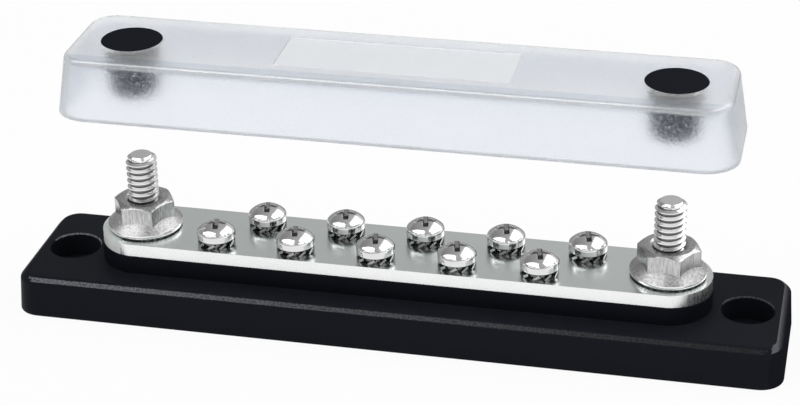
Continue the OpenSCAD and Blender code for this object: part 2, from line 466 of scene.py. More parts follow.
@dataclass(frozen=True)
class Metal:
    """A plated or bare metal with fine wiping marks, a cloudy tone and, on the bar, a scuffed left end."""

    name: str
    dark: Colour
    light: Colour
    roughness: float = 0.2
    spread: float = 0.1
    lay: Triple = even(900.0)
    mark_depth: float = 0.01 * MM
    mark_strength: float = 0.15
    mark_detail: float = 3.0
    cloud_per_m: float = 260.0
    cloud_detail: float = 4.0
    streak: float = 0.0
    contrast: float = 1.0
    scuffed_left_of: Optional[float] = None
    scuff: float = 0.8

    def material(self) -> bpy.types.Material:
        """Builds the finish.

        Returns:
            The material.
        """
        made, graph = new_material(self.name)
        here = graph.places()
        cloud = graph.noise(here, self.cloud_per_m, self.cloud_detail)
        marks = graph.noise(graph.places(self.lay), 1.0, self.mark_detail)
        tone = MID_TONE + (cloud + (marks - cloud) * self.streak - MID_TONE) * self.contrast
        rough = around(self.roughness, self.spread, marks)
        if self.scuffed_left_of is not None:
            rough = rough + graph.axis(here, "X").below(self.scuffed_left_of) * cloud * self.scuff
        close_material(
            graph,
            {
                "Base Color": graph.mix(tone, rgba(self.dark), rgba(self.light)),
                "Metallic": 1.0,
                "Roughness": rough,
                "Normal": graph.bump(marks, self.mark_strength, self.mark_depth),
            },
        )
        return made


BAR_TIN = Metal(
    "tin_plate",
    dark=(0.86, 0.91, 0.9),
    light=(0.92, 0.96, 0.95),
    roughness=0.25,
    spread=0.05,
    lay=even(500.0),
    mark_depth=0.004 * MM,
    mark_strength=0.1,
    scuffed_left_of=-57.0 * MM,
)
BAR_CUT = Metal(
    "sheared_edge",
    dark=(0.88, 0.89, 0.89),
    light=WHITE,
    roughness=0.27,
    spread=0.14,
    lay=(1500.0, 1500.0, 500.0),
    mark_depth=0.04 * MM,
    mark_strength=0.4,
    streak=0.6,
    contrast=2.0,
    scuffed_left_of=-57.0 * MM,
)
NUT_STEEL = Metal(
    "nut_satin_steel",
    dark=even(0.3),
    light=even(0.72),
    roughness=0.24,
    spread=0.14,
    lay=(3000.0, 3000.0, 500.0),
    mark_depth=0.02 * MM,
    mark_strength=0.25,
    streak=0.6,
    contrast=2.4,
)
FLANGE_STEEL = Metal(
    "flange_turned_steel",
    dark=even(0.28),
    light=even(0.72),
    roughness=0.42,
    spread=0.12,
    lay=(2200.0, 2200.0, 3200.0),
    mark_depth=0.03 * MM,
    mark_strength=0.3,
    streak=0.7,
    contrast=2.6,
)
STUD_STEEL = Metal(
    "stud_rolled_steel",
    dark=even(0.8),
    light=even(0.95),
    lay=(900.0, 900.0, 3000.0),
    mark_depth=0.015 * MM,
    mark_strength=0.25,
)
# Steel darkened to paint the shade under the screw heads.
WASHER_SHADED_STEEL = Metal(
    "washer_steel_painted_shade",
    dark=even(0.3),
    light=even(0.5),
    lay=even(1600.0),
    mark_depth=0.015 * MM,
    mark_strength=0.25,
)
# Painted shade in the thread roots.
THREAD_ROOT_SHADE = replace(STUD_STEEL, name="thread_root_painted_shade", dark=even(0.16), light=even(0.3), roughness=0.4)
RIM_STEEL = Metal("flange_rim_steel", even(0.84), even(0.95), roughness=0.16, spread=0.08)
SCREW_STEEL = Metal("screw_polished_steel", even(0.72), even(0.84), roughness=0.13, spread=0.06)
# Painted shade: darker steel on the recess walls.
RECESS_SHADED_STEEL = Metal("recess_steel_painted_shade", even(0.3), even(0.6), roughness=0.14, spread=0.08)
# Painted shade, darker still, on the recess floor.
RECESS_FLOOR_SHADE = Metal("recess_floor_painted_shade", even(0.04), even(0.14), roughness=0.4)


@dataclass(frozen=True)
class FrostedPlastic:
    """Milky translucent moulding with an etched frost, polished top edges and a paler panel on its top; the
    top is painted lighter than the walls, with a painted shade band along its front.
    """

    top_z: float
    top_depth: float = 0.5 * MM
    panel_half: tuple[float, float] = (23.25 * MM, 6.8 * MM)
    strip_y: float = 9.3 * MM
    edge_depths: tuple[float, float] = (0.1 * MM, 1.15 * MM)
    name: str = "frosted_cover"
    dark: Colour = (0.86, 0.892, 0.942)
    light: Colour = (0.9, 0.926, 0.968)
    # Colour of the top, lighter than the walls: painted light on the top.
    crown: Colour = (0.98, 0.988, 1.0)
    # Painted shade: a darker band along the front of the top, where the front wall is seen through it.
    strip: Colour = (0.74, 0.79, 0.85)
    panel: Colour = (0.92, 0.937, 0.962)
    panel_share: float = 0.6
    panel_roughness: float = 0.6
    roughness: float = 0.53
    spread: float = 0.06
    transmission: float = 0.96
    ior: float = 1.22
    edge_ior: float = 2.2
    edge_roughness: float = 0.12
    cloud_per_m: float = 55.0
    cloud_detail: float = 3.0
    frost_per_m: float = 1900.0
    frost_detail: float = 2.0
    frost_depth: float = 0.2 * MM
    frost_strength: float = 0.7
    fleck_per_m: float = 2600.0
    fleck_detail: float = 1.0
    fleck_from: float = 0.56
    fleck_share: float = 2.2

    def material(self) -> bpy.types.Material:
        """Builds the finish.

        Returns:
            The material.
        """
        made, graph = new_material(self.name)
        here = graph.places()
        across, height = graph.axis(here, "Y"), graph.axis(here, "Z")
        cloud = graph.noise(here, self.cloud_per_m, self.cloud_detail)
        frost = graph.noise(here, self.frost_per_m, self.frost_detail)
        fleck = graph.noise(here, self.fleck_per_m, self.fleck_detail)
        edge_top, edge_foot = (self.top_z - depth for depth in self.edge_depths)
        half_x, half_y = self.panel_half
        on_top = 1.0 - height.below(self.top_z - self.top_depth)
        on_edge = height.below(edge_top) - height.below(edge_foot)
        on_panel = abs(graph.axis(here, "X")).below(half_x) * abs(across).below(half_y) * on_top
        # The top gets the lighter colour as painted light, and a band along its front the darker strip
        # colour as painted shade.
        crown = graph.mix(across.below(-self.strip_y), rgba(self.crown), rgba(self.strip))
        clouded = graph.mix(cloud, rgba(self.dark), rgba(self.light))
        clear = graph.node(
            "ShaderNodeBsdfPrincipled",
            {},
            {
                "Base Color": graph.mix(on_top, clouded, crown),
                "Roughness": around(self.roughness, self.spread, cloud),
                "IOR": self.ior,
                "Transmission Weight": self.transmission,
                "Coat Weight": on_edge,
                "Coat IOR": self.edge_ior,
                "Coat Roughness": self.edge_roughness,
                "Normal": graph.bump(frost, self.frost_strength, self.frost_depth),
            },
        )
        milky = graph.node(
            "ShaderNodeBsdfPrincipled",
            {},
            {"Base Color": rgba(self.panel), "Roughness": self.panel_roughness},
        )
        share = ((fleck - self.fleck_from) * self.fleck_share).at_least(on_panel * self.panel_share)
        mixed = graph.node("ShaderNodeMixShader", {}, {0: share, 1: clear, 2: milky})
        graph.node("ShaderNodeOutputMaterial", {}, {"Surface": mixed})
        return made


@dataclass(frozen=True)
class MattRubber:
    """Black rubber with a dry, slightly dusty skin and a bluish glow painted towards its tip, as light that
    the frosted cover scatters over it.
    """

    low_z: float
    high_z: float
    name: str = "plug_rubber_skin"
    dark: Colour = (0.003, 0.0036, 0.007)
    light: Colour = (0.007, 0.0085, 0.014)
    # Painted light: a bluish glow on the lower part of the plug.
    cover_glow: Colour = (0.004, 0.014, 0.032)
    glow_share: float = 0.8
    glow_least: float = 0.5
    roughness: float = 0.58
    dust_roughness: float = 0.12
    dust_per_m: float = 420.0
    dust_detail: float = 4.0
    grain_per_m: float = 3200.0
    grain_detail: float = 1.0
    grain_depth: float = 0.03 * MM
    grain_strength: float = 0.3
    specular: float = 0.06
    sheen_tint: Colour = (0.75, 0.86, 1.0)

    def material(self) -> bpy.types.Material:
        """Builds the finish.

        Returns:
            The material.
        """
        made, graph = new_material(self.name)
        here = graph.places()
        dust = graph.noise(here, self.dust_per_m, self.dust_detail)
        grain = graph.noise(here, self.grain_per_m, self.grain_detail)
        span = (self.high_z - self.low_z) * self.glow_share
        # The painted glow is strongest at the lower end, fades upwards and varies with the dust.
        pale = ((self.low_z + span - graph.axis(here, "Z")) / span).at_least(0.0)
        clean = graph.mix(dust, rgba(self.dark), rgba(self.light))
        close_material(
            graph,
            {
                "Base Color": graph.mix(pale * (self.glow_least + dust), clean, rgba(self.cover_glow)),
                "Roughness": self.roughness + dust * self.dust_roughness,
                "Specular IOR Level": self.specular,
                "Specular Tint": rgba(self.sheen_tint),
                "Normal": graph.bump(grain, self.grain_strength, self.grain_depth),
            },
        )
        return made


def add_piece(
    name: str, mesh: Shape, body: Body, finishes: list[bpy.types.Material]
) -> bpy.types.Object:
    """Turns a bmesh into a piece of the object.

    Args:
        name: the piece's name.
        mesh: its shape in the shared frame, which is freed.
        body: the body that it rides on.
        finishes: its finishes, in the order of its faces' indices.

    Returns:
        The new object.
    """
    data = bpy.data.meshes.new(name)
    mesh.to_mesh(data)
    mesh.free()
    for finish in finishes:
        data.materials.append(finish)
    made = bpy.data.objects.new(name, data)
    bpy.context.scene.collection.objects.link(made)
    weighted = made.modifiers.new("flat_faces_stay_flat", "WEIGHTED_NORMAL")
    weighted.weight = FLAT_FACE_WEIGHT
    weighted.keep_sharp = True
    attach(made, body.value)
    LOG.info("%s: %d faces on %s", name, len(data.polygons), body.value)
    return made


def dress_node(frame: Frame, node: str, material: bpy.types.Material) -> None:
    """Gives a CAD node its finish.

    Args:
        frame: the loaded frame.
        node: the node's name.
        material: the finish.
    """
    item = frame["nodes"][node]
    item.data.materials.clear()
    item.data.materials.append(material)
    LOG.info("%s: finish %s", node, material.name)


def smooth_by_angle(mesh: Shape, limit_deg: float) -> None:
    """Shades a bmesh smooth, apart from its sharp edges.

    Args:
        mesh: the mesh to shade.
        limit_deg: an edge is sharp above this angle.
    """
    limit = math.radians(limit_deg)
    for face in mesh.faces:
        face.smooth = True
    for edge in mesh.edges:
        edge.smooth = len(edge.link_faces) == 2 and edge.calc_face_angle(0.0) < limit


def sharp_edges(mesh: Shape, sharp_deg: float) -> list[Edge]:
    """The edges of a closed bmesh above an angle."""
    limit = math.radians(sharp_deg)
    return [edge for edge in mesh.edges if len(edge.link_faces) == 2 and edge.calc_face_angle(0.0) > limit]


def open_edges(mesh: Shape) -> list[Edge]:
    """The edges round the openings of a bmesh."""
    return [edge for edge in mesh.edges if edge.is_boundary]


def round_edges(mesh: Shape, edges: list[Edge], width: float, segments: int) -> None:
    """Rounds chosen edges.

    Args:
        mesh: the mesh they belong to.
        edges: the edges to round.
        width: width of the rounding in metres.
        segments: steps across it.
    """
    bmesh.ops.bevel(
        mesh,
        geom=edges,
        offset=width,
        offset_type="OFFSET",
        segments=segments,
        profile=0.5,
        affect="EDGES",
        clamp_overlap=True,
        material=-1,
    )


def ease_sharp(mesh: Shape, ease: float, sharp_deg: float) -> None:
    """Eases the sharp edges of a bmesh and shades it.

    Args:
        mesh: the mesh to ease.
        ease: width of the bevel in metres.
        sharp_deg: edges above this angle are eased.
    """
    round_edges(mesh, sharp_edges(mesh, sharp_deg), ease, EASE_STEPS)
    smooth_by_angle(mesh, SMOOTH_DEG)


def merged_copy(source: bpy.types.Object) -> Shape:
    """A copy of a CAD node whose loose triangles are merged into whole faces.

    Args:
        source: the CAD node's object.

    Returns:
        The merged shape.
    """
    mesh = bmesh.new()
    mesh.from_mesh(source.data)
    bmesh.ops.remove_doubles(mesh, verts=mesh.verts[:], dist=WELD)
    bmesh.ops.dissolve_limit(
        mesh,
        angle_limit=math.radians(FLAT_DEG),
        verts=mesh.verts[:],
        edges=mesh.edges[:],
        delimit=set(),
    )
    return mesh


def eased_copy(source: bpy.types.Object, ease: float, sharp_deg: float) -> Shape:
    """A merged copy of a CAD node with its sharp edges eased.

    Args:
        source: the CAD node's object.
        ease: width of the bevel in metres.
        sharp_deg: edges above this angle are eased.

    Returns:
        The eased shape.
    """
    mesh = merged_copy(source)
    ease_sharp(mesh, ease, sharp_deg)
    return mesh


def cut_off(mesh: Shape, height: float, outward: Triple) -> None:
    """Cuts a bmesh level at a height and drops what lies beyond.

    Args:
        mesh: the mesh to cut.
        height: where it is cut.
        outward: the direction of what is dropped.
    """
    bmesh.ops.bisect_plane(
        mesh,
        geom=mesh.verts[:] + mesh.edges[:] + mesh.faces[:],
        dist=CUT,
        plane_co=(0.0, 0.0, height),
        plane_no=outward,
        clear_outer=True,
    )


def join(target: Shape, source: Shape, place: Matrix) -> None:
    """Adds a placed copy of one bmesh to another.

    Args:
        target: the mesh that grows.
        source: the mesh that is copied.
        place: where the copy goes.
    """
    data = bpy.data.meshes.new("placed_copy")
    source.to_mesh(data)
    data.transform(place)
    target.from_mesh(data)
    bpy.data.meshes.remove(data)


def islands(mesh: Shape) -> list[list[Face]]:
    """The separate shells of a bmesh.

    Args:
        mesh: the mesh to sort.

    Returns:
        The faces of each shell.
    """
    shells: list[list[Face]] = []
    left = set(mesh.faces)
    while left:
        shell = [left.pop()]
        for face in shell:
            for near in {other for vert in face.verts for other in vert.link_faces} & left:
                left.remove(near)
                shell.append(near)
        shells.append(shell)
    return shells


class SubAssembly(Protocol):
    """A group of pieces that is built round the frame."""

    def build(self, frame: Frame) -> None:
        """Makes the pieces."""


@dataclass
class BaseMoulding:
    """The black base with its plinth and mounting holes."""

    node: str = "base"
    slot: str = "base_plastic"
    ease: float = 0.15 * MM
    sharp_deg: float = 30.0
    fillet: float = 0.36 * MM
    fillet_steps: int = 4
    brim: float = 2.6 * MM
    plate_h: float = 8.55 * MM
    hole_x: float = 70.2 * MM
    rim_r: float = 6.0 * MM
    rim_slope: tuple[float, float] = (0.45, 0.9)
    rim_facing: float = -0.2
    edge_slope: tuple[float, float] = (0.67, 0.74)
    end_facing: float = 0.2
    end_line_slope: float = 0.65
    finishes: tuple[MouldedPlastic, ...] = (
        MouldedPlastic(),
        CHAMFER_HIGHLIGHT,
        PLINTH_SHADE,
        END_DULL,
        END_HIGHLIGHT_LINE,
        HOLE_RIM_HIGHLIGHT,
    )

    def at_brim(self, point: Vector, high: Vector) -> bool:
        """Whether a point lies near the outside of the base and above its foot."""
        far_out = abs(point.x) > high.x - self.brim or abs(point.y) > high.y - self.brim
        return point.z > self.brim and far_out

    def look_of(self, face: Face, high: Vector) -> BaseLook:
        """Chooses the finish of a face.

        Args:
            face: the face.
            high: upper corner of the base's box.

        Returns:
            The finish.
        """
        at, normal = face.calc_center_median(), face.normal
        steep_rim, flat_rim = self.rim_slope
        steep_edge, flat_edge = self.edge_slope
        at_hole = math.hypot(abs(at.x) - self.hole_x, at.y) < self.rim_r
        # The sides of the hole rims that face the front get a painted highlight.
        if at_hole and steep_rim < normal.z < flat_rim and normal.y < self.rim_facing:
            return BaseLook.RIM
        # The chamfers get the painted highlight.
        if steep_edge < normal.z < flat_edge and abs(normal.y) > steep_edge:
            return BaseLook.HIGHLIT_CHAMFER
        # The plinth under the bar gets painted shade.
        if at.z > self.plate_h:
            return BaseLook.PLINTH
        # On the right end, the chamfer's inner edge gets a painted highlight line and the other faces are
        # dull.
        if at.x > high.x - self.brim and normal.x > self.end_facing:
            return BaseLook.END_HIGHLIGHT_LINE if normal.z > self.end_line_slope else BaseLook.END
        return BaseLook.PLAIN

    def build(self, frame: Frame) -> None:
        """Makes the eased base, with painted highlights on its edges and painted shade on its plinth.

        Args:
            frame: the loaded frame.
        """
        mesh = merged_copy(frame["nodes"][self.node])
        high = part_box(self.node)[1]
        outer = [
            edge
            for edge in sharp_edges(mesh, self.sharp_deg)
            if all(self.at_brim(vert.co, high) for vert in edge.verts)
        ]
        round_edges(mesh, outer, self.fillet, self.fillet_steps)
        ease_sharp(mesh, self.ease, self.sharp_deg)
        for face in mesh.faces:
            face.material_index = self.look_of(face, high)
        finishes = [finish.material() for finish in self.finishes]
        made = add_piece("eased_base", mesh, Body.BLOCK, finishes)
        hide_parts(self.node)


@dataclass
class TerminalBar:
    """The plated flat bar."""

    node: str = "bus_bar"
    slot: str = "plated_bar"
    ease: float = 0.18 * MM
    sharp_deg: float = 35.0
    face_slope: float = 0.5
    finishes: tuple[Metal, ...] = (BAR_TIN, BAR_CUT)

    def build(self, frame: Frame) -> None:
        """Makes the eased bar, whose cut edges have a finish of their own.

        Args:
            frame: the loaded frame.
        """
        mesh = eased_copy(frame["nodes"][self.node], self.ease, self.sharp_deg)
        for face in mesh.faces:
            face.material_index = int(abs(face.normal.z) < self.face_slope)
        finishes = [finish.material() for finish in self.finishes]
        made = add_piece("plated_bar", mesh, Body.BLOCK, finishes)
        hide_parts(self.node)


@dataclass
class ThreadedStuds:
    """The two studs with their cut threads."""

    node: str = "studs"
    slot: str = "stud_steel"
    nuts: str = "flange_nuts"
    radius: float = 3.175 * MM
    pitch: float = 1.35 * MM
    depth: float = 0.74 * MM
    waist: float = 0.28
    root_to: float = 0.12
    waist_at: float = 0.22
    crest_from: float = 0.42
    lead_turns: float = 1.5
    steps: int = 36
    bevel: float = 1.05 * MM
    bevel_h: float = 0.85 * MM
    smooth_deg: float = 35.0
    head_ease: float = 0.15 * MM
    head_sharp_deg: float = 35.0
    head_to: float = 6.0 * MM
    rod_from: float = 5.5 * MM
    finishes: tuple[Metal, ...] = (STUD_STEEL, THREAD_ROOT_SHADE)

    def helix(self, low: float, high: float) -> Shape:
        """The thread's surface round the Z axis, closed at both ends.

        Args:
            low: height of its lower end.
            high: height of its upper end.

        Returns:
            The rod with square ends.
        """
        mesh = bmesh.new()
        start = low - self.lead_turns * self.pitch
        root = self.radius - self.depth
        rise = [
            (root, 0.0),
            (root, self.root_to),
            (root + self.waist * self.depth, self.waist_at),
            (self.radius, self.crest_from),
        ]
        profile = rise + [(reach, 1.0 - share) for reach, share in reversed(rise)]
        verts = [mesh.verts.new((reach, 0.0, start + share * self.pitch)) for reach, share in profile]
        edges = [mesh.edges.new(pair) for pair in zip(verts, verts[1:])]
        turns = math.ceil((high - start) / self.pitch) + 1
        bmesh.ops.spin(
            mesh,
            geom=verts + edges,
            cent=ORIGIN,
            axis=UP,
            dvec=(0.0, 0.0, self.pitch / self.steps),
            angle=turns * math.tau,
            steps=turns * self.steps,
            use_merge=False,
        )
        bmesh.ops.remove_doubles(mesh, verts=mesh.verts[:], dist=SEAM)
        cut_off(mesh, low, DOWN)
        cut_off(mesh, high, UP)
        bmesh.ops.holes_fill(mesh, edges=open_edges(mesh), sides=0)
        return mesh

    def rod(self, low: float, high: float) -> Shape:
        """One threaded rod on the Z axis with a bevelled tip.

        Args:
            low: height of its lower end.
            high: height of its tip.

        Returns:
            The closed rod.
        """
        mesh = self.helix(low, high)
        for vert in mesh.verts:
            reach = math.hypot(vert.co.x, vert.co.y)
            allowed = self.radius - self.bevel * (1.0 - max(0.0, high - vert.co.z) / self.bevel_h)
            if reach > allowed:
                vert.co.x *= allowed / reach
                vert.co.y *= allowed / reach
        bmesh.ops.recalc_face_normals(mesh, faces=mesh.faces[:])
        smooth_by_angle(mesh, self.smooth_deg)
        # Faces down in the thread roots, away from the ends, get the painted shade.
        waist = self.radius - self.depth + self.waist * self.depth
        for face in mesh.faces:
            middle = face.calc_center_median()
            at_end = middle.z - low < NEAR or high - middle.z < self.bevel_h
            face.material_index = int(math.hypot(middle.x, middle.y) < waist and not at_end)
        return mesh

    def build(self, frame: Frame) -> None:
        """Makes both studs, each a rod on the CAD node's own head.

        Args:
            frame: the loaded frame.
        """
        low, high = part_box(self.node)
        nuts_low, nuts_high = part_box(self.nuts)
        stud_x = (nuts_high.x - nuts_low.x) / 2 - (nuts_high.y - nuts_low.y) / 2
        whole = bmesh.new()
        heads = eased_copy(frame["nodes"][self.node], self.head_ease, self.head_sharp_deg)
        cut_off(heads, low.z + self.head_to, UP)
        bmesh.ops.holes_fill(heads, edges=open_edges(heads), sides=0)
        rod = self.rod(low.z + self.rod_from, high.z)
        join(whole, heads, Matrix.Identity(4))
        for side in (-1.0, 1.0):
            join(whole, rod, Matrix.Translation((side * stud_x, 0.0, 0.0)))
        heads.free()
        rod.free()
        finishes = [finish.material() for finish in self.finishes]
        made = add_piece("threaded_studs", whole, Body.BLOCK, finishes)
        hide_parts(self.node)


@dataclass
class FlangeNuts:
    """The two serrated flange nuts."""

    node: str = "flange_nuts"
    slot: str = "nut_steel"
    ease: float = 0.12 * MM
    ease_margin: float = 1.2
    sharp_deg: float = 25.0
    flange_h: float = 2.95 * MM
    flange_slope: tuple[float, float] = (0.3, 0.95)
    rim_in: float = 0.1 * MM
    teeth_h: float = 0.5 * MM
    skirt: float = 0.25 * MM
    mouth_r: float = 3.55 * MM
    mouth: float = 0.45 * MM
    finishes: tuple[Metal, ...] = (NUT_STEEL, FLANGE_STEEL, RIM_STEEL)

    def reshape(self, mesh: Shape, low: Vector, high: Vector) -> None:
        """Draws the rims down over the teeth and widens the countersinks.

        Args:
            mesh: the eased nuts.
            low: lower corner of their box.
            high: upper corner of their box.
        """
        nut_x = high.x - high.y
        margin = self.ease_margin * self.ease
        for vert in mesh.verts:
            reach = math.hypot(abs(vert.co.x) - nut_x, vert.co.y)
            if reach > high.y - self.rim_in - self.ease and vert.co.z < low.z + self.teeth_h + margin:
                vert.co.z -= self.skirt
            elif reach < self.mouth_r and vert.co.z > high.z - margin:
                axis = Vector((math.copysign(nut_x, vert.co.x), 0.0))
                vert.co.xy = axis + (vert.co.xy - axis) * (1.0 + self.mouth / reach)
        mesh.normal_update()

    def look_of(self, face: Face, low: Vector, high: Vector) -> NutLook:
        """Chooses the finish of a face.

        Args:
            face: the face.
            low: lower corner of the nuts' box.
            high: upper corner of the nuts' box.

        Returns:
            The finish.
        """
        at = face.calc_center_median()
        steep, flat = self.flange_slope
        if at.z >= low.z + self.flange_h:
            return NutLook.HEXAGON
        reach = math.hypot(abs(at.x) - (high.x - high.y), at.y)
        if reach > high.y - self.rim_in and at.z > low.z + self.teeth_h - self.skirt:
            return NutLook.RIM
        return NutLook.FLANGE if steep < face.normal.z < flat else NutLook.HEXAGON

    def build(self, frame: Frame) -> None:
        """Makes the eased nuts, with wide countersinks and rims that reach down over part of the teeth.

        Args:
            frame: the loaded frame.
        """
        mesh = eased_copy(frame["nodes"][self.node], self.ease, self.sharp_deg)
        low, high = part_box(self.node)
        self.reshape(mesh, low, high)
        for face in mesh.faces:
            face.material_index = self.look_of(face, low, high)
        finishes = [finish.material() for finish in self.finishes]
        made = add_piece("eased_flange_nuts", mesh, Body.BLOCK, finishes)
        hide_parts(self.node)


@dataclass
class TerminalScrews:
    """The ten cross-recess screws and their toothed washers."""

    node: str = "terminal_screws"
    washers: str = "lock_washers"
    slot: str = "screw_steel"
    radius: float = 3.95 * MM
    head_h: float = 3.4 * MM
    side_h: float = 1.55 * MM
    shoulder: float = 0.35 * MM
    shoulder_steps: int = 4
    foot_bevel: float = 0.25 * MM
    shank_r: float = 2.05 * MM
    tip_bevel: float = 0.4 * MM
    crown_r: float = 2.6 * MM
    dome_rings: int = 7
    recess_reach: float = 2.25 * MM
    recess_half: float = 0.58 * MM
    recess_depth: float = 1.5 * MM
    recess_blends: tuple[float, ...] = (0.4, 0.75)
    recess_turn_deg: float = 13.0
    floor_reach: float = 0.55
    floor_half: float = 0.75
    floor_point: float = 1.2
    lip: float = 0.07 * MM
    lip_steps: int = 2
    steps: int = 64
    finishes: tuple[Metal, ...] = (SCREW_STEEL, RECESS_SHADED_STEEL, RECESS_FLOOR_SHADE)
    washer: Metal = WASHER_SHADED_STEEL

    def dome(self, reach: float) -> float:
        """Height of the head's dome.

        Args:
            reach: distance from the screw's axis.

        Returns:
            The height above the head's foot.
        """
        rise = self.head_h - self.side_h
        sphere = (self.radius**2 + rise**2) / (2 * rise)
        return self.head_h - sphere + math.sqrt(sphere**2 - reach**2)

    def cross(self, angle: float, reach: float, half: float) -> float:
        """Distance of a cross outline from its middle.

        Args:
            angle: direction in radians.
            reach: length of an arm.
            half: half the width of an arm.

        Returns:
            The distance.
        """
        off_arm = abs((angle + math.pi / 4) % (math.pi / 2) - math.pi / 4)
        if math.tan(off_arm) <= half / reach:
            return reach / math.cos(off_arm)
        return half / math.sin(off_arm)

    def sink_recess(self, mesh: Shape, rim: list[Edge]) -> None:
        """Closes the crown of a head with a cross recess.

        Args:
            mesh: the head, open at the top.
            rim: the edges round the opening.
        """
        wide = (self.recess_reach, self.recess_half)
        narrow = (self.recess_reach * self.floor_reach, self.recess_half * self.floor_half)
        stages = [(blend, wide, 0.0) for blend in self.recess_blends]
        stages += [(1.0, wide, 0.0), (1.0, narrow, self.recess_depth)]
        edges = rim
        lip: list[Edge] = []
        for blend, (reach, half), depth in stages:
            grown = bmesh.ops.extrude_edge_only(mesh, edges=edges)["geom"]
            edges = [item for item in grown if isinstance(item, Edge) and item.is_boundary]
            for vert in {vert for edge in edges for vert in edge.verts}:
                angle = math.atan2(vert.co.y, vert.co.x)
                out = self.crown_r + (self.cross(angle, reach, half) - self.crown_r) * blend
                height = self.head_h - depth if depth else self.dome(out)
                vert.co = (out * math.cos(angle), out * math.sin(angle), height)
            # The recess walls get darker steel as painted shade.
            if depth:
                for face in (face for edge in edges for face in edge.link_faces):
                    face.material_index = ScrewLook.RECESS
            elif blend == 1.0:
                lip = edges
        # The recess floor gets the darkest painted shade.
        grown = bmesh.ops.extrude_edge_only(mesh, edges=edges)["geom"]
        for face in (item for item in grown if isinstance(item, Face)):
            face.material_index = ScrewLook.FLOOR
        floor = [item for item in grown if isinstance(item, bmesh.types.BMVert)]
        point = Vector((0.0, 0.0, self.head_h - self.recess_depth * self.floor_point))
        bmesh.ops.pointmerge(mesh, verts=floor, merge_co=point)
        round_edges(mesh, lip, self.lip, self.lip_steps)

    def at_shoulder(self, point: Vector) -> bool:
        """Whether a point lies where the dome meets the head's side."""
        return abs(point.z - self.side_h) < SEAM and point.xy.length > self.radius - NEAR

    def screw(self, length: float) -> Shape:
        """One screw on the Z axis with its head's foot at height 0.

        Args:
            length: length below the head.

        Returns:
            The closed screw.
        """
        mesh = bmesh.new()
        side = self.radius - self.crown_r
        reaches = [self.crown_r + side * ring / self.dome_rings for ring in range(self.dome_rings + 1)]
        profile = [(reach, self.dome(reach)) for reach in reaches]
        profile += [
            (self.radius, self.foot_bevel),
            (self.radius - self.foot_bevel, 0.0),
            (self.shank_r, 0.0),
            (self.shank_r, self.tip_bevel - length),
            (self.shank_r - self.tip_bevel, -length),
        ]
        verts = [mesh.verts.new((reach, 0.0, height)) for reach, height in profile]
        edges = [mesh.edges.new(pair) for pair in zip(verts, verts[1:])]
        bmesh.ops.spin(
            mesh,
            geom=verts + edges,
            cent=ORIGIN,
            axis=UP,
            dvec=ORIGIN,
            angle=math.tau,
            steps=self.steps,
            use_merge=True,
        )
        openings = open_edges(mesh)
        tip = [edge for edge in openings if edge.verts[0].co.z < 0.0]
        crown = [edge for edge in openings if edge.verts[0].co.z > 0.0]
        bmesh.ops.holes_fill(mesh, edges=tip, sides=0)
        self.sink_recess(mesh, crown)
        ring = [edge for edge in mesh.edges if all(self.at_shoulder(vert.co) for vert in edge.verts)]
        round_edges(mesh, ring, self.shoulder, self.shoulder_steps)
        bmesh.ops.recalc_face_normals(mesh, faces=mesh.faces[:])
        smooth_by_angle(mesh, SMOOTH_DEG)
        return mesh

    def spots(self, source: bpy.types.Object) -> list[tuple[float, float]]:
        """Where the screws stand.

        Args:
            source: the CAD node's object, with one shell for each screw.

        Returns:
            The screws' places from left to right.
        """
        solids = merged_copy(source)
        found: list[tuple[float, float]] = []
        for shell in islands(solids):
            xs = [vert.co.x for face in shell for vert in face.verts]
            ys = [vert.co.y for face in shell for vert in face.verts]
            found.append(((min(xs) + max(xs)) / 2, (min(ys) + max(ys)) / 2))
        solids.free()
        return sorted(found)

    def build(self, frame: Frame) -> None:
        """Makes the polished screws and dresses the washers.

        Args:
            frame: the loaded frame.
        """
        low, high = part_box(self.node)
        foot = high.z - self.head_h
        one = self.screw(foot - low.z)
        turn = Matrix.Rotation(math.radians(self.recess_turn_deg), 4, "Z")
        whole = bmesh.new()
        for spot in self.spots(frame["nodes"][self.node]):
            join(whole, one, Matrix.Translation((*spot, foot)) @ turn)
        one.free()
        finishes = [finish.material() for finish in self.finishes]
        made = add_piece("polished_screws", whole, Body.BLOCK, finishes)
        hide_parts(self.node)
        # The washers get steel darkened as painted shade under the heads.
        dress_node(frame, self.washers, self.washer.material())


@dataclass
class CoverLid:
    """The frosted cover with its two rubber plugs."""

    shell: str = "cover"
    plugs: tuple[str, str] = ("plug_left", "plug_right")
    slot: str = "plug_rubber"
    ease: float = 0.2 * MM
    sharp_deg: float = 30.0

    def build(self, frame: Frame) -> None:
        """Dresses the cover and makes its eased plugs, none of which the metal mirrors.

        Args:
            frame: the loaded frame.
        """
        frost = FrostedPlastic(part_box(self.shell)[1].z)
        dress_node(frame, self.shell, frost.material())
        frame["nodes"][self.shell].visible_glossy = False
        low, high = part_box(self.plugs[0])
        skin = MattRubber(low.z, high.z).material()
        for plug in self.plugs:
            mesh = eased_copy(frame["nodes"][plug], self.ease, self.sharp_deg)
            made = add_piece("eased_" + plug, mesh, Body.LID, [skin])
            made.visible_glossy = False
            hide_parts(plug)


